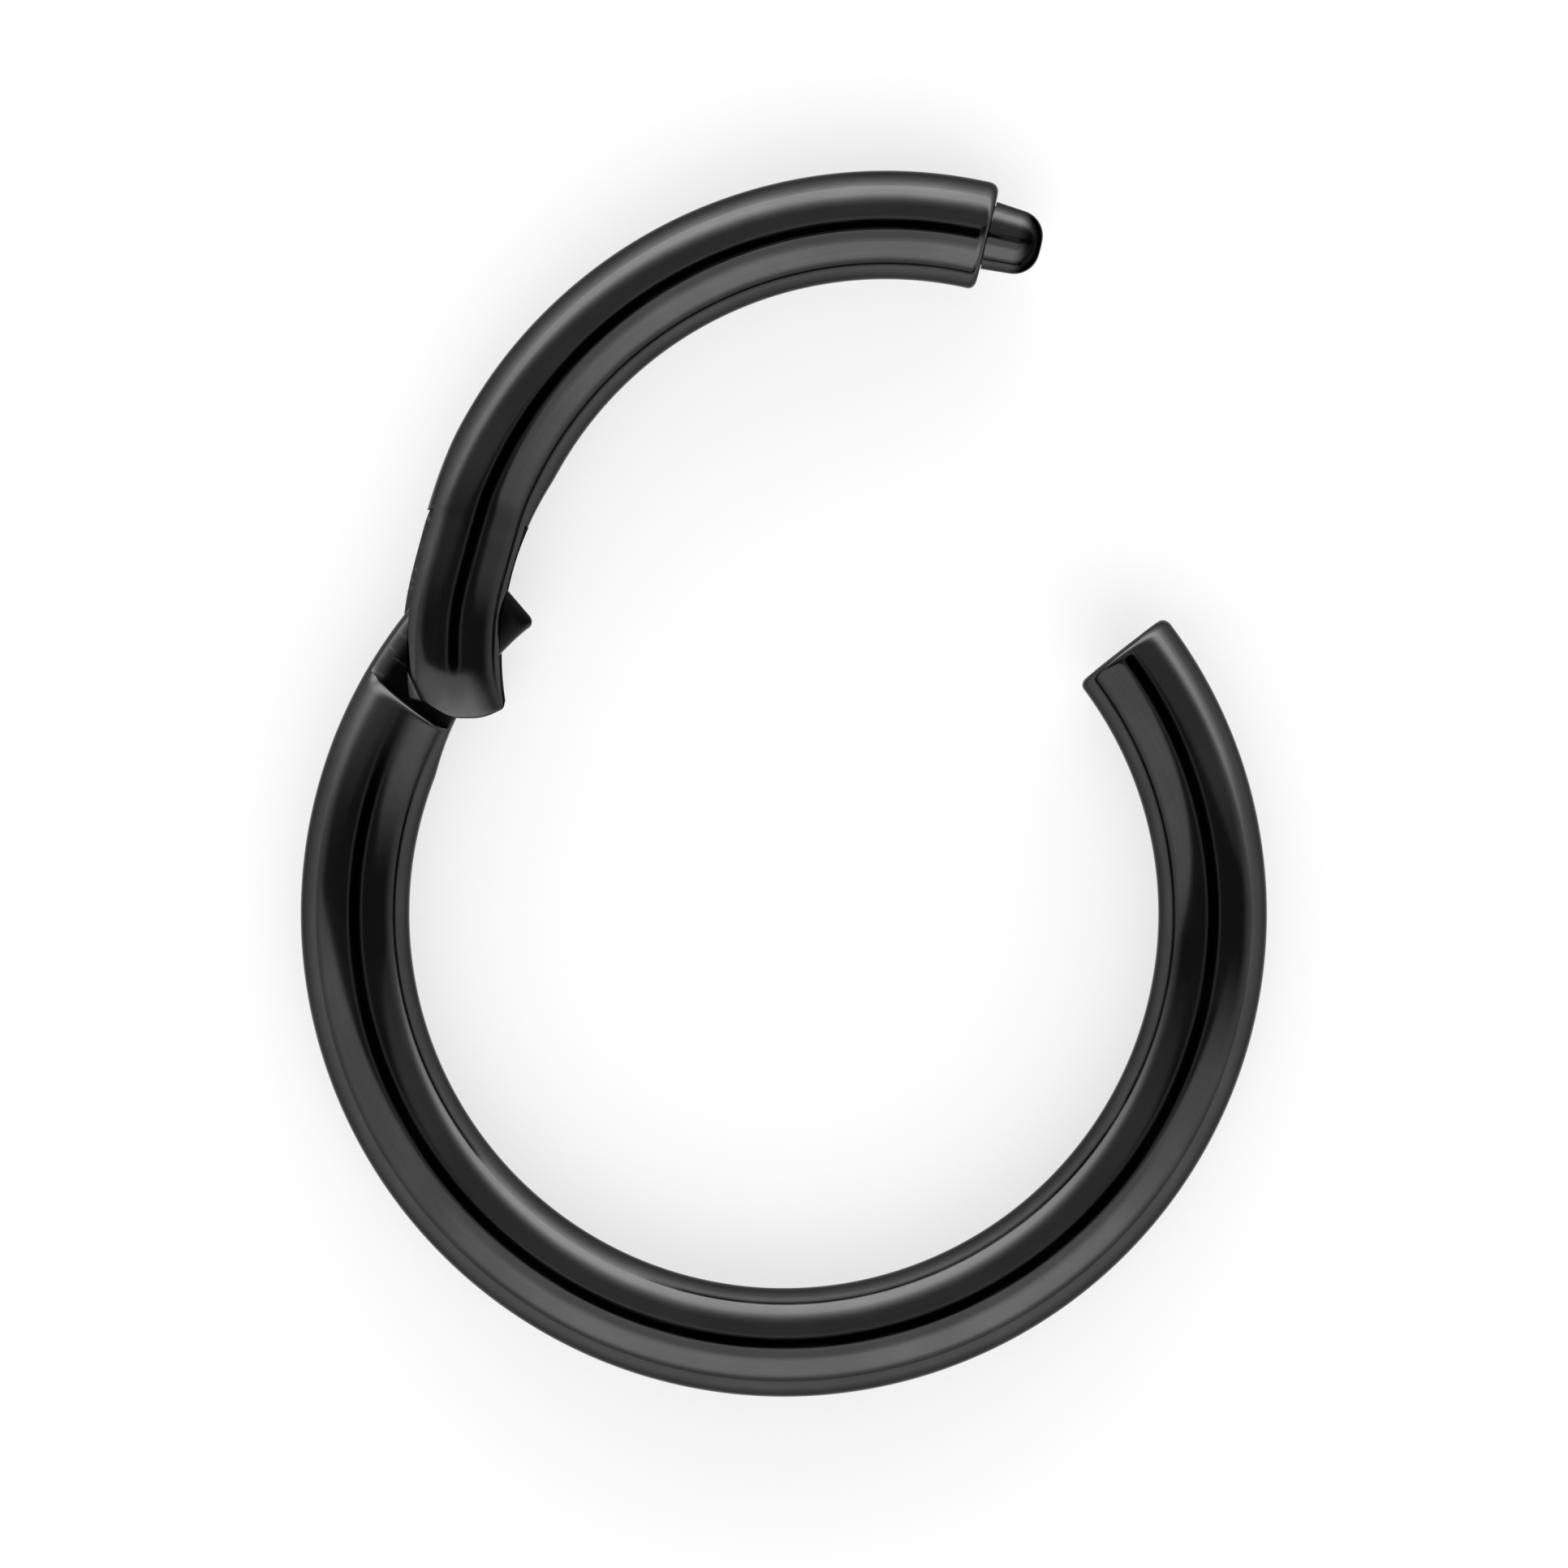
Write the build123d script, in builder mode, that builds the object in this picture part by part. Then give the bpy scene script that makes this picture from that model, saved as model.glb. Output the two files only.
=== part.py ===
from build123d import *
import os
from math import cos, degrees, hypot, radians, sin

# Hinged segment ring for piercings: a round wire ring whose upper segment swings on a
# hinge pin and closes with a blunt clasp pin in a socket. The ring lies flat, +Z is
# the hinge axis, and the segment stands open. The origin is under the middle of the
# opened ring, on the surface that it lies on. Angles go counter-clockwise from +X,
# and heights at the hinge are measured from the middle of the wire.

# Driving sizes, in millimetres and degrees
wire_diameter = 1.6
inner_diameter = 11.0
pivot_angle = 139.6
mouth_angle = 38.0
open_angle = 38.0

# Hinge: a tongue of the ring between two cheeks of the segment
tongue_top = 0.38
tongue_bottom = -0.25
tongue_end_angle = 130.5
tongue_corner_radius = 0.12
side_clearance = 0.02
slot_reach = 1.90
cheek_run_out = 13.0
shoulder_reach = 1.235
shoulder_radius = 4.35
shoulder_turn = 2.6
pin_diameter = 0.50
pin_seat_clearance = 0.008
pin_running_clearance = 0.02

# Outline of the cheeks' end seen from above, about the hinge pin: outwards, along the wire
cheek_outline = ((0.94, 0.93), (0.54, 0.96), (0.03, 1.19), (-0.50, 1.17), (-0.94, 0.78))
cheek_corner_radii = (0.25, 0.60, 0.18)

# Shallow hollows that slim the inner side of the wire at the hinge
hollow_depth = 0.147
ring_hollow_radius = 4.06
ring_hollow_angle = 138.0
segment_hollow_radius = 4.70
segment_hollow_angle = 141.0

# Clasp: a blunt pin in the segment's end and a socket in the ring's end
closing_gap = 0.03
nub_length = 0.80
nub_base_diameter = 1.02
nub_end_diameter = 0.89
nub_tip_radius = 0.38
nub_shift = 0.03
shank_diameter = 0.90
shank_length = 1.10
seam = 0.01
socket_clearance = 0.03
socket_edge_radius = 0.40

# Broken edges
rim_radius = 0.13
cheek_rim_radius = 0.16
shoulder_rim_radius = 0.08

wire_radius = wire_diameter / 2
ring_radius = (inner_diameter + wire_diameter) / 2
open_pivot_angle = pivot_angle + open_angle
segment_end_angle = mouth_angle + degrees(closing_gap / ring_radius) + open_angle
up = Vector(0, 0, 1)


def direction(angle):
    """Unit vector in the plane of the ring."""
    return Vector(cos(radians(angle)), sin(radians(angle)), 0)


# The open segment's centre lies higher than the ring's, and the origin is half way.
rise = ring_radius * (sin(radians(pivot_angle)) - sin(radians(open_pivot_angle)))
ring_centre = Vector(0, -rise / 2, wire_radius)
pivot = ring_centre + direction(pivot_angle) * ring_radius
segment_centre = pivot - direction(open_pivot_angle) * ring_radius


def across(centre, angle):
    """Plane across the wire: x points outwards, y up, z clockwise along the wire."""
    outwards = direction(angle)
    return Plane(centre + outwards * ring_radius, outwards, direction(angle - 90))


def along(centre, angle):
    """Plane through the middle of the wire: x points outwards, y clockwise along it."""
    outwards = direction(angle)
    return Plane(centre + outwards * ring_radius, outwards, -up)


def hollow_out(centre, angle, radius):
    """Cuts a shallow hollow into the inner side of the wire."""
    reach = inner_diameter / 2 + hollow_depth - radius
    with Locations(centre + direction(angle) * reach):
        Cylinder(radius, 2 * wire_diameter, mode=Mode.SUBTRACT)


def face_at(kind, place):
    """Face of one kind that lies nearest to a place on the part being built."""
    return faces().filter_by(kind).sort_by_distance(place)[0]


# Room for the nub as it swings in, seen from above: a pocket along the nub, open to
# the outside as far as the rounding of the nub's tip reaches about the hinge.
mouth = along(ring_centre, mouth_angle)
pocket_corner = nub_tip_radius + socket_clearance
pocket_half_width = nub_base_diameter / 2 + socket_clearance
pocket_depth = nub_length - closing_gap + socket_clearance
taper = (nub_base_diameter - nub_end_diameter) / 2 / (nub_length - seam)
tip_centre = Vector(
    nub_shift + nub_end_diameter / 2 - nub_tip_radius * (hypot(1, taper) - taper),
    nub_length - closing_gap - nub_tip_radius,
)
swing_centre = mouth.to_local_coords(pivot)
swing_radius = (tip_centre - swing_centre).length + pocket_corner
with BuildPart() as socket_room:
    with BuildSketch(mouth):
        with Locations((nub_shift - pocket_half_width, pocket_depth)):
            Rectangle(wire_diameter, wire_diameter, align=(Align.MIN, Align.MAX))
        with Locations(swing_centre):
            Circle(swing_radius, mode=Mode.INTERSECT)
        fillet(vertices().group_by(Axis.Y)[-1], pocket_corner)
    extrude(amount=pocket_half_width, both=True)
    fillet(faces().filter_by(Axis.Z).edges(), socket_edge_radius)

# Ring arc, from the end of the tongue round to the mouth
with BuildPart() as ring_arc:
    tongue_end = across(ring_centre, tongue_end_angle)
    with BuildSketch(tongue_end):
        Circle(wire_radius)
    arc_span = 360 + mouth_angle - tongue_end_angle
    revolve(axis=Axis(ring_centre, up), revolution_arc=arc_span)
    fillet(face_at(GeomType.PLANE, mouth.origin).edges(), rim_radius)
    add(socket_room.part, mode=Mode.SUBTRACT)
    hollow_out(ring_centre, ring_hollow_angle, ring_hollow_radius)
    facing = direction(pivot_angle + 90 + shoulder_turn)
    for level, side in ((tongue_top, Align.MIN), (tongue_bottom, Align.MAX)):
        base = (Align.CENTER, Align.CENTER, side)
        with Locations(pivot + facing * (shoulder_reach - shoulder_radius) + up * level):
            Cylinder(shoulder_radius, wire_diameter, align=base, mode=Mode.SUBTRACT)
        shoulder = pivot + facing * shoulder_reach + up * level
        shoulder_edges = face_at(GeomType.CYLINDER, shoulder).edges()
        fillet(shoulder_edges.filter_by(GeomType.BSPLINE), shoulder_rim_radius)
    tongue_edges = face_at(GeomType.PLANE, tongue_end.origin).edges()
    tongue_edges = tongue_edges.sort_by(Axis(tongue_end.origin, tongue_end.x_dir))
    fillet([tongue_edges[0], tongue_edges[-1]], tongue_corner_radius)
    with Locations(pivot):
        Hole(pin_diameter / 2 + pin_running_clearance)
ring_arc.part.label = "ring_arc"

# Hinged segment, from its free end round to the cheeks
with BuildPart() as hinged_segment:
    free_end = across(segment_centre, segment_end_angle)
    with BuildSketch(free_end):
        Circle(wire_radius)
    segment_span = open_pivot_angle + cheek_run_out - segment_end_angle
    revolve(axis=Axis(segment_centre, up), revolution_arc=segment_span)
    fillet(face_at(GeomType.PLANE, free_end.origin).edges(), rim_radius)
    hollow_out(segment_centre, segment_hollow_angle + open_angle, segment_hollow_radius)
    with BuildSketch(Plane(pivot, direction(open_pivot_angle), up)):
        with BuildLine():
            start, *corners, finish = cheek_outline
            far = 2 * wire_diameter
            Polyline((start[0], far), start, *corners, finish, (finish[0], far), close=True)
        make_face()
        for place, radius in zip(corners, cheek_corner_radii):
            fillet(vertices().sort_by_distance(place)[0], radius)
    extrude(amount=wire_diameter, both=True, mode=Mode.SUBTRACT)
    cheek_edges = edges(Select.LAST)
    inner_corner = cheek_edges.filter_by(Axis.Z).sort_by(Axis(pivot, direction(open_pivot_angle)))[0]
    cheek_rim = cheek_edges.filter_by(GeomType.BSPLINE).sort_by(SortBy.LENGTH)[:-1]
    fillet([inner_corner, *cheek_rim], cheek_rim_radius)
    slot_bottom = tongue_bottom - side_clearance
    slot_height = tongue_top + side_clearance - slot_bottom
    standing = (Align.CENTER, Align.CENTER, Align.MIN)
    with Locations(pivot + up * slot_bottom):
        Cylinder(slot_reach, slot_height, align=standing, mode=Mode.SUBTRACT)
    with Locations(pivot):
        Hole(pin_diameter / 2 + pin_seat_clearance)
    with BuildSketch(free_end):
        with Locations((nub_shift, 0)):
            Circle(shank_diameter / 2 + seam)
    extrude(amount=-(shank_length + seam), mode=Mode.SUBTRACT)
hinged_segment.part.label = "hinged_segment"

# Hinge pin, polished flush with the wire at both ends
with BuildPart() as hinge_pin:
    with Locations(pivot):
        Cylinder(pin_diameter / 2, 2 * wire_diameter)
    with BuildSketch(across(segment_centre, open_pivot_angle - cheek_run_out)):
        Circle(wire_radius)
    wire_axis = Axis(segment_centre, up)
    revolve(axis=wire_axis, revolution_arc=2 * cheek_run_out, mode=Mode.INTERSECT)
hinge_pin.part.label = "hinge_pin"

# Clasp pin: a shank in the segment's end and a blunt, slightly tapered nub
with BuildPart() as clasp_pin:
    nub_plane = along(segment_centre, segment_end_angle)
    with BuildSketch(nub_plane):
        with BuildLine():
            Polyline(
                (nub_shift, -shank_length),
                (nub_shift + shank_diameter / 2, -shank_length),
                (nub_shift + shank_diameter / 2, seam),
                (nub_shift + nub_base_diameter / 2, seam),
                (nub_shift + nub_end_diameter / 2, nub_length),
                (nub_shift, nub_length),
                close=True,
            )
        make_face()
        tip = vertices().group_by(Axis.Y)[-1].sort_by(Axis.X)[-1]
        fillet(tip, nub_tip_radius)
    nub_foot = nub_plane.from_local_coords((nub_shift, 0))
    revolve(axis=Axis(nub_foot, nub_plane.y_dir))
clasp_pin.part.label = "clasp_pin"

os.makedirs("parts", exist_ok=True)
export_step(ring_arc.part, "parts/ring_arc.step")
export_step(hinged_segment.part, "parts/hinged_segment.step")
export_step(hinge_pin.part, "parts/hinge_pin.step")
export_step(clasp_pin.part, "parts/clasp_pin.step")
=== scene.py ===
"""Looks of the hinged segment ring: black coated wire, its hinge and clasp, and a plain table."""

from math import acos, atan2, cos, hypot, pi, radians, sin, sqrt

import bmesh
import bpy
from mathutils import Matrix, Vector


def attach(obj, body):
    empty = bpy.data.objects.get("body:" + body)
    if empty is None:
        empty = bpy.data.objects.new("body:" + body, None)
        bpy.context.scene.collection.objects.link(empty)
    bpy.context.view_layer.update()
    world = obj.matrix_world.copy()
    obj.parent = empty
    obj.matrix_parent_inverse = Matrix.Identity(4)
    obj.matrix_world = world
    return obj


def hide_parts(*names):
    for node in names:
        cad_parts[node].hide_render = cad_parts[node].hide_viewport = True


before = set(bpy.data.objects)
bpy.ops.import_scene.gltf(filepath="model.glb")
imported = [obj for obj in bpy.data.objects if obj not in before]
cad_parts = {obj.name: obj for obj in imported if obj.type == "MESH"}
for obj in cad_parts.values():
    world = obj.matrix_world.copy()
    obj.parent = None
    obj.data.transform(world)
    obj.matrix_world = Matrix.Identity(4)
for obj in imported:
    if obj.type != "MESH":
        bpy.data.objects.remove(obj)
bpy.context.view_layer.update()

# Sizes in millimetres and degrees, the same as in the part's source
wire_radius = 0.8
ring_radius = 6.3
pivot_angle = 139.6
mouth_angle = 38.0
open_angle = 38.0
tongue_top = 0.38
tongue_bottom = -0.25
tongue_end_angle = 130.5
slot_top = 0.40
slot_bottom = -0.27
slot_reach = 1.90
shoulder_reach = 1.235
shoulder_radius = 4.35
shoulder_turn = 2.6
tongue_corner = 0.12
pin_radius = 0.25
pin_room = 0.02
pin_seat_room = 0.008
hollow_depth = 0.147
closing_gap = 0.03
nub_length = 0.80
nub_base_radius = 0.51
nub_end_radius = 0.445
nub_tip_radius = 0.38
nub_shift = 0.03
shank_radius = 0.45
shank_length = 1.10
seam = 0.01
socket_clearance = 0.03
socket_corner = 0.40
end_rim = 0.13

# Outline of the cheeks' end from above, about the hinge pin: outwards, along the wire.
# It is drawn a little closer to the photograph than the solid's.
cheek_outline = ((0.94, 0.92), (0.50, 0.975), (0.03, 1.215), (-0.42, 1.195), (-0.80, 1.00))
cheek_corners = (0.10, 0.12, 0.17)
inner_corner = (-0.725, 1.038)
inner_corner_radius = 0.10

# Shaped one by one: the hollows' angles and radii, the domed and flared cheeks, the slimmed
# slot wall, broken edges, the hinge pin's covered ends and the socket's wider mouth
ring_hollow = (138.0, 3.98)
segment_hollow = (180.0, 4.58)
hollow_softness = 0.008
dome_length = 0.85
dome_drop = 0.17
front_flare = (-0.020, 0.045)
rear_flare = (0.026, 0.092)
seam_slimming = 0.045
flare_start = (158.0, 163.0)
flare_span = (165.0, 177.0)
flare_height = 0.6
rear_flare_width = 0.5
seam_span = (152.5, 162.5)
seam_half_height = 0.42
cheek_rim = 0.035
cheek_edge = 0.03
tongue_edge = 0.04
tongue_outer_edge = 0.10
shoulder_rim = 0.10
shoulder_widening = 0.8
shoulder_widening_width = 0.6
shoulder_fade = 0.14
pin_length = 1.34
pin_hole_length = 1.36
mouth_widening = 0.16
mouth_widening_depth = 0.45

# Places of the ring's and the segment's centres, the hinge and the segment's free end
open_pivot_angle = pivot_angle + open_angle
segment_end_angle = mouth_angle + closing_gap / ring_radius * 180 / pi + open_angle
rise = ring_radius * (sin(radians(pivot_angle)) - sin(radians(open_pivot_angle)))


def direction(angle):
    """Unit vector in the plane of the ring."""
    return Vector((cos(radians(angle)), sin(radians(angle)), 0))


ring_centre = Vector((0, -rise / 2, wire_radius))
pivot = ring_centre + direction(pivot_angle) * ring_radius
segment_centre = pivot - direction(open_pivot_angle) * ring_radius

# Line across the outer corner of the front cheek's end, beyond which it gets a painted highlight
painted_highlight_place = pivot + direction(open_pivot_angle) * 0.68 + direction(open_pivot_angle + 90) * 0.60
painted_highlight_facing = direction(204.9)
painted_highlight_reach = 0.6

# How finely the meshes are divided, and which of their edges look sharp
rod_sides = 96
ring_rows = 440
segment_rows = 250
bar_sides = 96
rim_segments = 6
edge_segments = 3
outer_edge_segments = 6
socket_segments = 8
corner_steps = 8
cheek_corner_steps = 6
shoulder_steps = 9
tip_steps = 12
strip_width = 0.03
sharp_angle = radians(28)
TINY = 1e-4


def along_wire(angle):
    """Length along the middle of the wire up to an angle of the ring."""
    return radians(angle) * ring_radius


def smooth_step(value):
    """Rises smoothly from 0 to 1."""
    value = min(max(value, 0), 1)
    return value * value * (3 - 2 * value)


def ease(value, low, high):
    """Rises smoothly from 0 to 1 between two values."""
    return smooth_step((value - low) / (high - low))


def new_object(bm, name):
    """Turns a mesh that is being built into an object of the scene."""
    mesh = bpy.data.meshes.new(name)
    bm.to_mesh(mesh)
    bm.free()
    made = bpy.data.objects.new(name, mesh)
    bpy.context.scene.collection.objects.link(made)
    return made


def finish_mesh(bm, name, body, nodes, materials):
    """Turns a mesh in millimetres into a finished piece of the ring in metres."""
    bmesh.ops.scale(bm, vec=(0.001, 0.001, 0.001), verts=bm.verts)
    bmesh.ops.triangulate(bm, faces=[f for f in bm.faces if len(f.verts) > 4])
    bmesh.ops.recalc_face_normals(bm, faces=bm.faces)
    for face in bm.faces:
        face.smooth = True
    for edge in bm.edges:
        edge.smooth = edge.is_manifold and edge.calc_face_angle(0) < sharp_angle
    piece = new_object(bm, name)
    for material in materials:
        piece.data.materials.append(material)
    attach(piece, body)
    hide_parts(*nodes)
    return piece


def cut_out(bm, tool):
    """Cuts a closed tool out of a closed mesh."""
    objects = []
    for source in (bm, tool):
        bmesh.ops.recalc_face_normals(source, faces=source.faces)
        objects.append(new_object(source, "blank"))
    work = objects[0].modifiers.new("work", "BOOLEAN")
    work.object, work.operation, work.solver = objects[1], "DIFFERENCE", "EXACT"
    bpy.context.view_layer.update()
    done = objects[0].evaluated_get(bpy.context.evaluated_depsgraph_get())
    result = bmesh.new()
    result.from_mesh(done.to_mesh())
    done.to_mesh_clear()
    for blank in objects:
        mesh = blank.data
        bpy.data.objects.remove(blank)
        bpy.data.meshes.remove(mesh)
    bmesh.ops.remove_doubles(result, verts=result.verts, dist=TINY)
    bmesh.ops.dissolve_degenerate(result, dist=TINY, edges=result.edges)
    return result


def bar(middle, radius, length, turned=None):
    """Round bar, upright unless it is turned."""
    bm = bmesh.new()
    matrix = Matrix.Translation(middle)
    if turned:
        matrix = matrix @ Vector(turned).to_track_quat("Z", "Y").to_matrix().to_4x4()
    bmesh.ops.create_cone(
        bm,
        cap_ends=True,
        segments=bar_sides,
        radius1=radius,
        radius2=radius,
        depth=length,
        matrix=matrix,
    )
    return bm


def break_edges(bm, edges, size, segments=edge_segments):
    """Breaks sharp edges with a small round."""
    bmesh.ops.bevel(
        bm,
        geom=edges,
        offset=size,
        offset_type="OFFSET",
        affect="EDGES",
        segments=segments,
        profile=0.5,
        material=-1,
    )


def straight_rod(first, last, rims, rows):
    """Round rod along +Y before it is bent, with rounded end rims and even rows."""
    bm = bmesh.new()
    lying = Matrix.Translation((0, (first + last) / 2, 0)) @ Matrix.Rotation(-pi / 2, 4, "X")
    bmesh.ops.create_cone(
        bm,
        cap_ends=True,
        segments=rod_sides,
        radius1=wire_radius,
        radius2=wire_radius,
        depth=last - first,
        matrix=lying,
    )
    for end, rim in zip((first, last), rims):
        if rim:
            edges = [e for e in bm.edges if all(abs(v.co.y - end) < TINY for v in e.verts)]
            break_edges(bm, edges, rim, rim_segments)
    long_edges = [e for e in bm.edges if e.calc_length() > (last - first) / 2]
    bmesh.ops.subdivide_edges(bm, edges=long_edges, cuts=rows - 1, use_grid_fill=True)
    return bm


def score(bm, faces, place, normal):
    """Scores a plane into some faces without parting them, and returns the faces."""
    geom = {*faces, *(e for f in faces for e in f.edges), *(v for f in faces for v in f.verts)}
    cut = bmesh.ops.bisect_plane(
        bm, geom=list(geom), dist=TINY, plane_co=place, plane_no=normal
    )
    return [g for g in cut["geom"] if isinstance(g, bmesh.types.BMFace)]


def strip_across(bm, place, reach):
    """Divides what stands across the rod at a place into strips, so that it can be bowed."""
    faces = [f for f in bm.faces if all(abs(v.co.y - place) < reach for v in f.verts)]
    count = int(wire_radius / strip_width)
    for step in range(-count, count + 1):
        faces = score(bm, faces, (step * strip_width, 0, 0), (1, 0, 0))


def cut_away(bm, wall, side, bottom, top):
    """Cuts the rod away between two heights from a wall to its end, and closes it.

    side is 1 where the cut lies further along the rod than the wall, and -1 before it.
    Returns the flat faces along the rod.
    """
    score(bm, bm.faces[:], (0, wall, 0), (0, 1, 0))
    heights = [h for h in (bottom, top) if abs(h) < wire_radius]
    for height in heights:
        beyond = [f for f in bm.faces if (f.calc_center_median().y - wall) * side > TINY]
        score(bm, beyond, (0, 0, height), (0, 0, 1))
    waste = []
    for face in bm.faces:
        middle = face.calc_center_median()
        if (middle.y - wall) * side > TINY and bottom < middle.z < top:
            waste.append(face)
    bmesh.ops.delete(bm, geom=waste, context="FACES")

    rim = [e for e in bm.edges if e.is_boundary]
    at_wall = [e for e in rim if all(abs(v.co.y - wall) < TINY for v in e.verts)]
    corners = {v for e in at_wall for v in e.verts if len({*v.link_edges} & {*at_wall}) == 1}
    for height in heights:
        at_wall.append(bm.edges.new([v for v in corners if abs(v.co.z - height) < 0.02]))
    made = bmesh.ops.contextual_create(bm, geom=at_wall)["faces"]
    flats = []
    for height in heights:
        rim = [
            e
            for e in bm.edges
            if e.is_boundary and all(abs(v.co.z - height) < TINY for v in e.verts)
        ]
        flats.extend(bmesh.ops.contextual_create(bm, geom=rim)["faces"])
    for face in made + flats:
        face.material_index = 1
    return flats


def sharp_edges(flats, wall):
    """Edges round some flats, all but those at their wall."""
    return [e for f in flats for e in f.edges if any(abs(v.co.y - wall) > TINY for v in e.verts)]


def bow_rows(bm, place, edge_at, before, after):
    """Moves rows near a place so that they follow a curve seen from above.

    edge_at gives the length along the wire at an outward offset. The move fades out
    over a length before the place and a length after it.
    """
    for v in bm.verts:
        ahead = v.co.y - place
        share = 1 - (ahead / after if ahead > 0 else -ahead / before)
        if share > 0:
            v.co.y += (edge_at(v.co.x) - place) * share


def crossing(hub, reach, side):
    """Where an upright cylinder crosses the wire, as a length along it by outward offset.

    The hub is given from the centre that the wire is bent about.
    """
    hub_angle = atan2(hub.y, hub.x)

    def edge_at(offset):
        out = ring_radius + offset
        cosine = (out**2 + hub.length**2 - reach**2) / (2 * out * hub.length)
        return ring_radius * (hub_angle + side * acos(cosine))

    return edge_at


def outline_across(corners, roundings):
    """Where an outline drawn about the hinge pin crosses the wire, by outward offset."""
    points = [Vector(corners[0])]
    for before, corner, after, rounding in zip(corners, corners[1:], corners[2:], roundings):
        corner = Vector(corner)
        first = corner + (Vector(before) - corner).normalized() * rounding
        last = corner + (Vector(after) - corner).normalized() * rounding
        for i in range(corner_steps + 1):
            share = i / corner_steps
            points.append(first.lerp(corner, share).lerp(corner.lerp(last, share), share))
    points.append(Vector(corners[-1]))
    line = []
    for outwards, along in points:
        turn = atan2(along, ring_radius + outwards)
        line.append((hypot(ring_radius + outwards, along) - ring_radius, ring_radius * turn))
    line.sort()
    foot = along_wire(open_pivot_angle)

    def edge_at(offset):
        for (left, low), (right, high) in zip(line, line[1:]):
            if offset <= right:
                share = max((offset - left) / (right - left), 0)
                return foot + low + (high - low) * share
        return foot + line[-1][1]

    return edge_at


def shave(bm, place, normal, reach):
    """Cuts away what lies beyond a plane near a place, and closes the cuts."""
    near = [f for f in bm.faces if any((v.co - place).length < reach for v in f.verts)]
    geom = {*near, *(e for f in near for e in f.edges), *(v for f in near for v in f.verts)}
    bmesh.ops.bisect_plane(
        bm, geom=list(geom), dist=TINY / 10, plane_co=place, plane_no=normal, clear_outer=True
    )
    bmesh.ops.holes_fill(bm, edges=[e for e in bm.edges if e.is_boundary], sides=0)


def press_hollow(bm, angle, radius):
    """Presses a shallow hollow into the inner side of the wire at the hinge."""
    hub = ring_radius - wire_radius + hollow_depth - radius
    for v in bm.verts:
        turn = v.co.y / ring_radius - radians(angle)
        if v.co.x < 0 and cos(turn) > 0.5:
            side = hub * cos(turn) + sqrt(radius**2 - (hub * sin(turn)) ** 2)
            depth = side - ring_radius - v.co.x
            v.co.x += (depth + hypot(depth, hollow_softness)) / 2 if depth > -0.1 else 0


def bend(bm, centre):
    """Bends a straight rod round a centre."""
    for v in bm.verts:
        out = direction(v.co.y / ring_radius * 180 / pi) * (ring_radius + v.co.x)
        v.co = centre + out + Vector((0, 0, v.co.z))


def profile_spun(points, foot, axis, sideways):
    """Solid of revolution from (radius, height) points about an axis."""
    bm = bmesh.new()
    verts = [bm.verts.new(foot + sideways * r + axis * h) for r, h in points]
    edges = [bm.edges.new(pair) for pair in zip(verts, verts[1:])]
    bmesh.ops.spin(
        bm,
        geom=verts + edges,
        cent=foot,
        axis=axis,
        angle=2 * pi,
        steps=bar_sides,
        use_merge=True,
    )
    bmesh.ops.remove_doubles(bm, verts=bm.verts, dist=TINY)
    return bm


def round_shoulder(bm, wall):
    """Rounds the shoulder's rim above and below the tongue, wider at the outer side."""
    widest = (1 + shoulder_widening) * shoulder_rim
    for i in range(1, shoulder_steps + 1):
        place = wall + widest * (1 - cos(pi / 2 * i / shoulder_steps))
        near = [f for f in bm.faces if abs(f.calc_center_median().y - wall) < 0.3]
        score(bm, near, (0, place, 0), (0, 1, 0))
    for v in bm.verts:
        behind = v.co.y - wall
        rim = shoulder_rim * (1 + shoulder_widening * ease(v.co.x, 0, shoulder_widening_width))
        if -TINY < behind < rim:
            drop = shoulder_rim * (1 - sqrt(1 - (1 - behind / rim) ** 2))
            past = max(v.co.z - tongue_top, tongue_bottom - v.co.z)
            shrink = 1 - drop * ease(past, 0, shoulder_fade) / wire_radius
            v.co.x *= shrink
            v.co.z *= shrink


def socket_room():
    """Room for the closed nub in the ring's end, a little wider towards its outer side.

    It stays inside the rim, so it doesn't hold the nub's whole swing: from about -37 to
    -32.5 degrees of the hinge the nub cuts through the end's outer wall.
    """
    half_width = nub_base_radius + socket_clearance
    depth = nub_length - closing_gap + socket_clearance
    bm = bmesh.new()
    bmesh.ops.create_cube(bm, size=2)
    bmesh.ops.scale(bm, vec=(half_width, depth, half_width), verts=bm.verts)
    break_edges(bm, bm.edges[:], socket_corner, socket_segments)
    bmesh.ops.translate(bm, vec=(nub_shift, 0, 0), verts=bm.verts)
    for v in bm.verts:
        height = max(mouth_widening_depth - v.co.y, 0)
        v.co.x += height * mouth_widening * max(v.co.x, 0) / half_width
    outwards, along = direction(mouth_angle), direction(mouth_angle - 90)
    place = ring_centre + outwards * ring_radius
    turn = Matrix((outwards, along, (0, 0, 1))).transposed().to_4x4()
    bmesh.ops.transform(bm, matrix=Matrix.Translation(place) @ turn, verts=bm.verts)
    return bm


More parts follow.
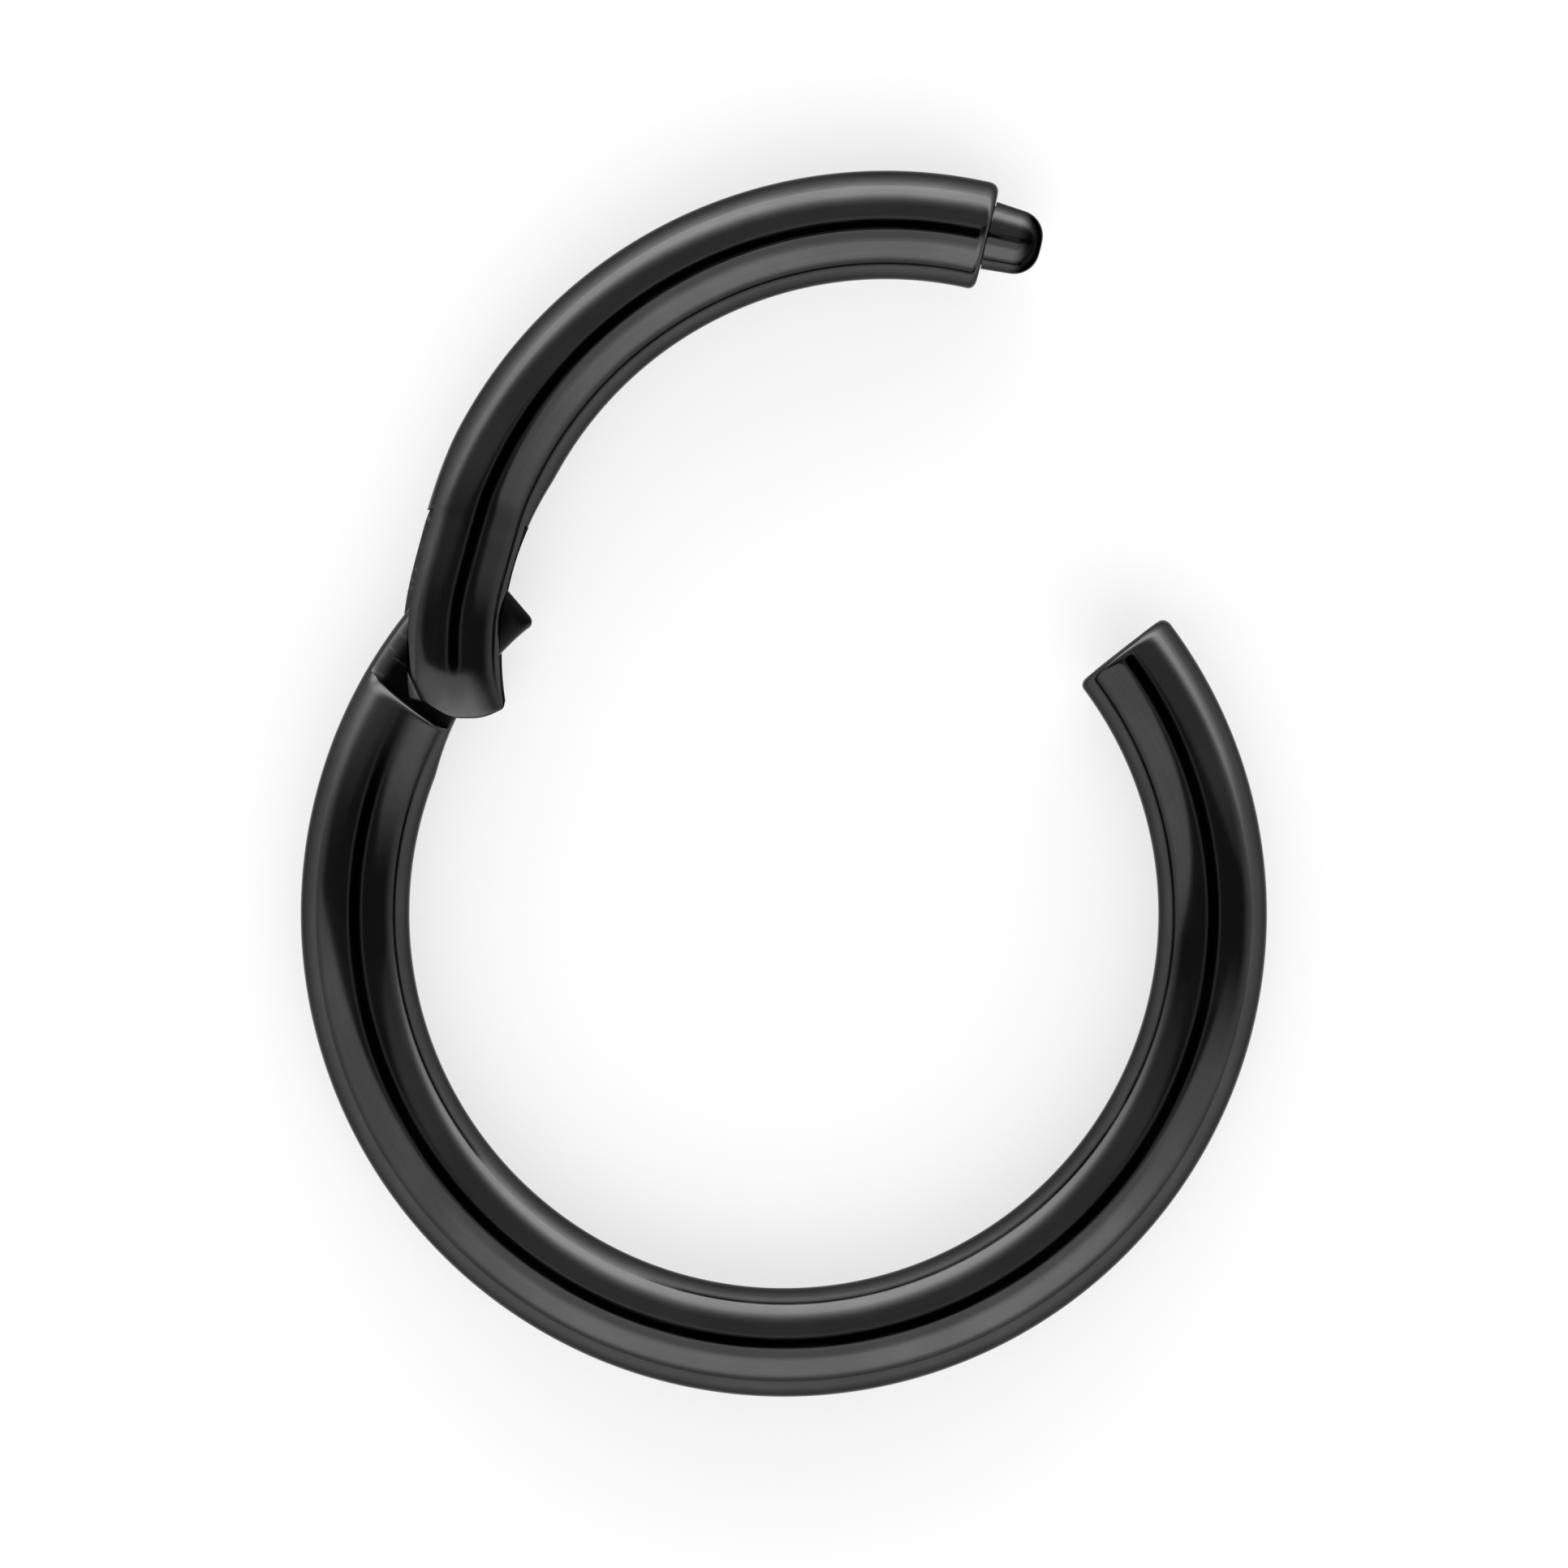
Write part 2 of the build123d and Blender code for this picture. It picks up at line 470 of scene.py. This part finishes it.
def make_ring_arc(materials):
    """Fixed arc: full wire with a shoulder, and beyond it the tongue."""
    facing = direction(pivot_angle + 90 + shoulder_turn)
    hub = pivot - ring_centre + facing * (shoulder_reach - shoulder_radius)
    shoulder = crossing(hub, shoulder_radius, 1)
    first, last, wall = along_wire(tongue_end_angle), along_wire(360 + mouth_angle), shoulder(0)
    arc = straight_rod(first, last, (0, end_rim), ring_rows)
    press_hollow(arc, *ring_hollow)
    score(arc, arc.faces[:], (0, wall, 0), (0, 1, 0))
    round_shoulder(arc, wall)
    flats = cut_away(arc, wall, -1, tongue_top, 1) + cut_away(arc, wall, -1, -1, tongue_bottom)
    # Lines along the tongue just under its top, which would fold when its edge is broken
    top, outer_low, inner_low = 0.37, 0.28, 0.34
    crowded = [
        e
        for e in arc.edges
        if all(v.co.y < wall + TINY and v.co.z < top for v in e.verts)
        and all(v.co.z > (outer_low if v.co.x > 0 else inner_low) for v in e.verts)
        and abs(e.verts[0].co.z - e.verts[1].co.z) < TINY
    ]
    bmesh.ops.dissolve_edges(arc, edges=crowded, use_verts=True)
    edges = sharp_edges(flats, wall)
    outer = [e for e in edges if all(v.co.x > 0 and v.co.z > 0 for v in e.verts)]
    outer = [e for e in outer if abs(e.verts[0].co.y - e.verts[1].co.y) > TINY]
    break_edges(arc, [e for e in edges if e not in outer], tongue_edge)
    edges = [
        e
        for e in arc.edges
        if all(v.co.x > 0 and abs(v.co.z - tongue_top) < TINY for v in e.verts)
        and abs(e.verts[0].co.y - e.verts[1].co.y) > TINY
        and all(v.co.x > 0.69 and v.co.y < wall + TINY for v in e.verts)
    ]
    break_edges(arc, edges, tongue_outer_edge, outer_edge_segments)
    strip_across(arc, wall, TINY)
    strip_across(arc, first, tongue_edge + TINY)

    inner = min(v.co.x for v in arc.verts if v.co.y < first + TINY)

    def tongue_end(offset):
        past = max(inner + tongue_corner - offset, offset - wire_radius + tongue_corner, 0)
        past = min(past, tongue_corner)
        return first + tongue_corner - sqrt(tongue_corner**2 - past**2)

    bow_rows(arc, first, tongue_end, before=0.1, after=0.4)
    bow_rows(arc, wall, shoulder, before=0.8, after=0.8)
    bend(arc, ring_centre)
    arc = cut_out(arc, bar(pivot, pin_radius + pin_room, 2))
    arc = cut_out(arc, socket_room())
    return finish_mesh(arc, "black_ring_arc", "ring", ["ring_arc"], materials)


def flare_cheeks(bm):
    """Flares the cheeks outwards a little, the rear one more, and slims the slot's wall."""
    for v in bm.verts:
        angle = v.co.y / ring_radius * 180 / pi
        start, share = ease(angle, *flare_start), ease(angle, *flare_span)
        front, rear = (
            low * start + (high - low) * share for low, high in (front_flare, rear_flare)
        )
        rear *= ease(v.co.x, 0, rear_flare_width)
        slim = ease(angle, *seam_span) * max(1 - (v.co.z / seam_half_height) ** 2, 0)
        slim *= ease(v.co.x, 0, wire_radius)
        v.co.x += rear + (front - rear) * ease(v.co.z, slot_bottom, slot_bottom + flare_height)
        v.co.x -= seam_slimming * slim


def dome_cheeks(bm, end):
    """Lets the cheeks slope down towards their end, the more the nearer they come to it."""
    for v in bm.verts:
        share = max(1 - (end - v.co.y) / dome_length, 0) ** 2
        for level, up in ((slot_top, 1), (-slot_bottom, -1)):
            past = v.co.z * up - level
            if past > 0:
                v.co.z -= up * dome_drop * share * past / (wire_radius - level)


def round_cheek_corner(bm):
    """Rounds the inner corner of the cheeks' end, seen from above."""
    out, along = direction(open_pivot_angle), direction(open_pivot_angle + 90)
    (x0, y0), (x1, y1) = cheek_outline[-2:]
    lean = atan2(x0 - x1, y0 - y1)
    first, last = pi - lean, pi
    sides = [Vector((cos(a), sin(a), 0)) for a in (first, last)]
    inset = (sides[0] + sides[1]) * inner_corner_radius / (1 + sides[0].dot(sides[1]))
    middle = Vector((*inner_corner, 0)) - inset
    for i in range(1, cheek_corner_steps):
        turn = first + (last - first) * i / cheek_corner_steps
        normal = out * cos(turn) + along * sin(turn)
        place = pivot + out * middle.x + along * middle.y + normal * inner_corner_radius
        shave(bm, place, normal, 0.8)


def mark_painted_highlight_corner(bm):
    """Marks the outer corner of the front cheek for a painted highlight, down to a crisp line."""
    near = []
    for face in bm.faces:
        middle = face.calc_center_median()
        if (middle - painted_highlight_place).xy.length < painted_highlight_reach and middle.z > wire_radius:
            near.append(face)
    for face in score(bm, near, painted_highlight_place, painted_highlight_facing):
        if (face.calc_center_median() - painted_highlight_place).dot(painted_highlight_facing) > 0:
            face.material_index = 2


def make_segment(materials):
    """Hinged segment: bent wire with a domed cheek end, a slot and the clasp pin's hole."""
    cheek = outline_across(cheek_outline, cheek_corners)
    wall_line = crossing(pivot - segment_centre, slot_reach, -1)
    first, last, wall = along_wire(segment_end_angle), cheek(0), wall_line(0)
    segment = straight_rod(first, last, (end_rim, cheek_rim), segment_rows)
    flare_cheeks(segment)
    press_hollow(segment, *segment_hollow)
    flats = cut_away(segment, wall, 1, slot_bottom, slot_top)
    break_edges(segment, sharp_edges(flats, wall), cheek_edge)
    strip_across(segment, wall, TINY)
    strip_across(segment, last, cheek_rim + TINY)
    bow_rows(segment, wall, wall_line, before=0.5, after=0.5)
    bow_rows(segment, last, cheek, before=0.6, after=0.1)
    dome_cheeks(segment, last)
    bend(segment, segment_centre)
    round_cheek_corner(segment)
    mark_painted_highlight_corner(segment)
    segment = cut_out(segment, bar(pivot, pin_radius + pin_seat_room, pin_hole_length))
    along = direction(segment_end_angle - 90)
    foot = segment_centre + direction(segment_end_angle) * (ring_radius + nub_shift)
    segment = cut_out(
        segment, bar(foot, shank_radius + seam, 2 * (shank_length + seam), turned=along)
    )
    return finish_mesh(
        segment, "black_segment", "segment", ["hinged_segment"], materials
    )


def make_hinge_pin(materials):
    """Hinge pin, a little short of the wire's surface, where the coating covers it."""
    pin = bar(pivot, pin_radius, pin_length)
    return finish_mesh(pin, "hinge_rivet", "segment", ["hinge_pin"], materials)


def make_clasp_pin(materials):
    """Clasp pin: shank and blunt, slightly tapered nub."""
    slope = (nub_base_radius - nub_end_radius) / (nub_length - seam)
    lean = atan2(slope, 1)
    tip_centre_x = nub_end_radius - nub_tip_radius * (sqrt(1 + slope**2) - slope)
    tip_centre_y = nub_length - nub_tip_radius
    points = [(0, -shank_length), (shank_radius, -shank_length), (shank_radius, seam)]
    points += [(nub_base_radius, seam)]
    for i in range(tip_steps + 1):
        angle = lean + (pi / 2 - lean) * i / tip_steps
        points.append(
            (
                tip_centre_x + nub_tip_radius * cos(angle),
                tip_centre_y + nub_tip_radius * sin(angle),
            )
        )
    points.append((0, nub_length))
    outwards = direction(segment_end_angle)
    foot = segment_centre + outwards * (ring_radius + nub_shift)
    clasp = profile_spun(points, foot, direction(segment_end_angle - 90), outwards)
    return finish_mesh(clasp, "clasp_nub", "segment", ["clasp_pin"], materials)


class Flow:
    """A value on its way through a node tree."""

    def __init__(self, tree, socket):
        self.tree = tree
        self.socket = socket

    def node(self, kind, settings=None, sockets=None, output=0):
        """Value that a further node makes."""
        made = add_node(self.tree, kind, settings, sockets)
        return Flow(self.tree, made.outputs[output])

    def math(self, operation, *others):
        """Maths with this value first."""
        values = dict(enumerate((self, *others)))
        return self.node("ShaderNodeMath", {"operation": operation}, values)

    def math_last(self, operation, other):
        """Maths with this value second."""
        return self.node("ShaderNodeMath", {"operation": operation}, {0: other, 1: self})

    def __add__(self, other):
        return self.math("ADD", other)

    def __radd__(self, other):
        return self.math_last("ADD", other)

    def __sub__(self, other):
        return self.math("SUBTRACT", other)

    def __rsub__(self, other):
        return self.math_last("SUBTRACT", other)

    def __mul__(self, other):
        return self.math("MULTIPLY", other)

    def __rmul__(self, other):
        return self.math_last("MULTIPLY", other)

    def __truediv__(self, other):
        return self.math("DIVIDE", other)

    def __rtruediv__(self, other):
        return self.math_last("DIVIDE", other)

    def rise(self, low, high):
        """Rises smoothly from 0 to 1 between two values."""
        sockets = {0: self, 1: low, 2: high}
        return self.node("ShaderNodeMapRange", {"interpolation_type": "SMOOTHSTEP"}, sockets)

    def dot(self, vector):
        """Dot product with a vector."""
        sockets = {0: self, 1: vector}
        return self.node("ShaderNodeVectorMath", {"operation": "DOT_PRODUCT"}, sockets, "Value")


def add_node(tree, kind, settings=None, sockets=None):
    """Adds a node: its settings first, then the values or links of its sockets."""
    made = tree.nodes.new(kind)
    for name, value in (settings or {}).items():
        setattr(made, name, value)
    for key, value in (sockets or {}).items():
        if isinstance(value, Flow):
            tree.links.new(value.socket, made.inputs[key])
        else:
            made.inputs[key].default_value = value
    return made


def noise(places, scales, detail=2.0):
    """Noise over three lengths in millimetres, with its own fineness along each."""
    scaled = [place * scale for place, scale in zip(places, scales)]
    vector = places[0].node("ShaderNodeCombineXYZ", None, dict(enumerate(scaled)))
    sockets = {"Vector": vector, "Scale": 1.0, "Detail": detail}
    return vector.node("ShaderNodeTexNoise", None, sockets)


def place_from(tree, centre):
    """Place on the ring in metres, seen from a centre given in millimetres."""
    here = Flow(tree, add_node(tree, "ShaderNodeTexCoord").outputs["Object"])
    sockets = {0: here, 1: centre * 0.001}
    return here.node("ShaderNodeVectorMath", {"operation": "SUBTRACT"}, sockets)


def wire_places(tree, centre, middle_angle):
    """Length along the bent wire, outward offset and height, in millimetres."""
    here = place_from(tree, centre)
    ahead = here.dot(direction(middle_angle) * 1000)
    aside = here.dot(direction(middle_angle + 90) * 1000)
    reach = (ahead * ahead + aside * aside).math("SQRT")
    turn = aside.math("ARCTAN2", ahead)
    return turn * ring_radius, reach - ring_radius, here.dot((0, 0, 1000))


def metal(name, colours, shade, roughness, height, depth):
    """Metal whose colour, roughness and fine relief vary.

    shade leads from the first of two colours to the second, and depth is the relief's,
    in metres.
    """
    material = bpy.data.materials[name]
    tree = material.node_tree
    shader = tree.nodes["Principled BSDF"]
    shader.inputs["Metallic"].default_value = 1.0
    shader.inputs["Specular Tint"].default_value = (0.42, 0.42, 0.42, 1)
    relief = height.node(
        "ShaderNodeBump", None, {"Strength": 1.0, "Distance": depth, "Height": height}, "Normal"
    )
    dark, light = ((*colour, 1) for colour in colours)
    mixed = shade.node(
        "ShaderNodeMix", {"data_type": "RGBA"}, {"Factor": shade, 6: dark, 7: light}, 2
    )
    tree.links.new(mixed.socket, shader.inputs["Base Color"])
    tree.links.new(roughness.socket, shader.inputs["Roughness"])
    tree.links.new(relief.socket, shader.inputs["Normal"])
    return material


def blank_material(name):
    """New material, and its node tree."""
    material = bpy.data.materials.new(name)
    material.use_nodes = True
    return material.node_tree


def coated_wire(name, centre, middle_angle, softness_and_sheen_span):
    """Glossy black coating with fine polishing lines along the wire and faint smudges.

    The last argument gives two angles between which, towards the hinge, the gloss softens and a
    painted sheen lightens the colour.
    """
    places = wire_places(blank_material(name), centre, middle_angle)
    lines = noise(places, (0.35, 24, 24), 3.0)
    hairs = noise(places, (0.12, 55, 55), 1.0).rise(0.60, 0.72)
    waves = noise(places, (0.5, 1.1, 1.1), 1.0)
    smudges = noise(places, (0.9, 1.6, 1.6), 4.0).rise(0.35, 0.75)
    start, end = (radians(angle - middle_angle) * ring_radius for angle in softness_and_sheen_span)
    softness_and_sheen = places[0].rise(start, end)
    # The third term paints sheen: the colour lightens towards the hinge along with the softer
    # gloss.
    shade = lines * 0.4 + smudges * 0.3 + softness_and_sheen * 0.3
    roughness = 0.07 + smudges * 0.04 + lines * 0.02 + softness_and_sheen * 0.17
    height = lines * 0.9 + hairs * 0.9 + waves * 6
    colours = ((0.046, 0.046, 0.047), (0.076, 0.076, 0.077))
    return metal(name, colours, shade, roughness, height, 1.2e-7)


def machined_face(name, centre, middle_angle):
    """Coated face as the milling cutter left it: short marks across the wire and scuffs, with a
    painted sheen lightening it towards the outer edge.
    """
    places = wire_places(blank_material(name), centre, middle_angle)
    marks = noise(places, (17, 2.2, 5), 3.0)
    outer = places[1].rise(0.0, 0.5)
    scuffs = noise(places, (11, 2.0, 3), 3.0).rise(0.56, 0.70) * outer
    # edge paints sheen: the colour lightens from 0.42 to 0.66 mm outwards, where the face also
    # grows rougher.
    edge = places[1].rise(0.42, 0.66)
    shade = scuffs * 0.5 + edge * 0.5
    roughness = 0.16 + marks * 0.06 + scuffs * 0.12 + edge * 0.20
    height = marks * 0.6 + scuffs * 0.8
    colours = ((0.030, 0.030, 0.031), (0.17, 0.17, 0.17))
    return metal(name, colours, shade, roughness, height, 1.5e-6)


def painted_highlight_steel(name, centre, middle_angle):
    """Small spot with a painted highlight: brighter, satin and a little uneven."""
    places = wire_places(blank_material(name), centre, middle_angle)
    flecks = noise(places, (6, 9, 9), 3.0)
    patches = noise(places, (1.5, 2, 2), 2.0).rise(0.35, 0.65)
    shade = flecks * 0.4 + patches * 0.6
    roughness = 0.38 + flecks * 0.12
    # Both colours are light grey: the spot's brightness is a painted highlight.
    colours = ((0.18, 0.18, 0.18), (0.50, 0.50, 0.50))
    return metal(name, colours, shade, roughness, flecks, 8e-7)


def turned_pin(name):
    """Glossy black coating over the fine rings of turning, with painted shade darkening the nub's
    tip.
    """
    here = place_from(blank_material(name), segment_centre)
    along = here.dot(direction(segment_end_angle - 90) * 1000)
    aside = here.dot(direction(segment_end_angle) * 1000)
    places = (along, aside, here.dot((0, 0, 1000)))
    rings = noise(places, (38, 0.6, 0.6), 2.0)
    smudges = noise(places, (2.2, 2.2, 2.2), 3.0).rise(0.35, 0.75)
    roughness = 0.07 + smudges * 0.04 + rings * 0.02
    # The last factor paints shade: from 0.40 to 0.62 mm along the nub the colour darkens to the
    # first, near-black one.
    shade = (0.75 + rings * 0.12 + smudges * 0.13) * along.rise(0.62, 0.40)
    colours = ((0.006, 0.006, 0.006), (0.062, 0.062, 0.063))
    return metal(name, colours, shade, roughness, rings * 0.6, 1.5e-7)


def make_table():
    """Plain pale table under the ring, lightly clouded, that glows a little like a light table."""
    bm = bmesh.new()
    bmesh.ops.create_grid(bm, x_segments=1, y_segments=1, size=0.6)
    table = new_object(bm, "table_top")
    tree = blank_material("pale_table")
    shader = tree.nodes["Principled BSDF"]
    shader.inputs["Base Color"].default_value = (0.42, 0.42, 0.42, 1)
    shader.inputs["Emission Color"].default_value = (1, 1, 1, 1)
    shader.inputs["Emission Strength"].default_value = 0.61
    here = Flow(tree, add_node(tree, "ShaderNodeTexCoord").outputs["Object"])
    clouds = here.node("ShaderNodeTexNoise", None, {"Vector": here, "Scale": 120.0})
    tree.links.new((0.19 + clouds * 0.03).socket, shader.inputs["Roughness"])
    table.data.materials.append(bpy.data.materials["pale_table"])


def light_room():
    """Soft studio light: a dark strip overhead, a bright wall behind and a glow in front.

    Its numbers were set against the photograph. z is 1 straight up, and the
    slopes forwards and backwards grow from 0 there towards the horizon.
    """
    world = bpy.data.worlds.new("studio")
    bpy.context.scene.world = world
    world.use_nodes = True
    tree = world.node_tree
    here = Flow(tree, add_node(tree, "ShaderNodeTexCoord").outputs["Generated"])
    x, y, z = (here.dot(axis) for axis in ((1, 0, 0), (0, 1, 0), (0, 0, 1)))
    level = z.math("MAXIMUM", 0.02)
    flat = (x * x + y * y).math("SQRT").math("MAXIMUM", 0.001)
    forwards = (x.math("ABSOLUTE") * 0.1 - y) / level
    front = forwards.rise(0.17, 0.25) * (here.dot(direction(262)) / flat).rise(-0.05, 0.3)
    core = z.rise(0.90, 0.76) * z.rise(0.14, 0.36)
    core = core * (here.dot(direction(276)) / flat).rise(0.5, 0.92)
    backwards = y / level
    behind = here.dot(direction(85)) / flat
    ceiling = backwards.rise(0.14, 0.24) * behind.rise(0.0, 0.4)
    wall = backwards.rise(0.8, 2.7) * behind.rise(0.0, 0.9)
    sides = z.rise(0.45, 0.05) * (1 - front) * 0.6 + z.rise(0.983, 0.975) * 0.10
    glint = z.rise(0.983, 0.976) * z.rise(0.950, 0.965)
    light = front * (0.55 + z.rise(0.02, 0.3) * 0.45) + core * 1.25
    light = light + ceiling * 0.33 + wall * 3.8 + sides + glint * 0.22
    tree.links.new(light.socket, tree.nodes["Background"].inputs["Strength"])
    tree.nodes["Background"].inputs["Color"].default_value = (1, 1, 1, 1)


def set_camera():
    """Camera straight above the ring."""
    camera = bpy.data.cameras.new("camera")
    distance = 0.2
    frame_width = 0.02304
    wire_height = wire_radius * 0.001
    middle = (0.0000024, -0.0000051)
    camera.sensor_width = 36.0
    camera.lens = camera.sensor_width * distance / frame_width
    camera.clip_start = 0.01
    eye = bpy.data.objects.new("camera", camera)
    eye.location = (*middle, distance + wire_height)
    bpy.context.scene.collection.objects.link(eye)
    bpy.context.scene.camera = eye


# Each arc's centre, and the middle of the arc, from where its marks are measured
ring_bend = (ring_centre, 264.0)
segment_bend = (segment_centre, 132.0)

ring_coat = coated_wire("black_ring_coat", *ring_bend, (168.0, 150.0))
segment_coat = coated_wire("black_segment_coat", *segment_bend, (180.0, 187.0))
ring_faces = machined_face("milled_ring_faces", *ring_bend)
segment_faces = machined_face("milled_segment_faces", *segment_bend)
# The segment's third material paints a highlight on the front cheek's outer corner.
painted_highlight_spot = painted_highlight_steel("segment_painted_highlight", *segment_bend)
pin_coat = turned_pin("black_pin_coat")
make_ring_arc([ring_coat, ring_faces])
make_segment([segment_coat, segment_faces, painted_highlight_spot])
make_hinge_pin([pin_coat])
make_clasp_pin([pin_coat])
make_table()
light_room()
set_camera()
bpy.context.scene.view_settings.view_transform = "Standard"
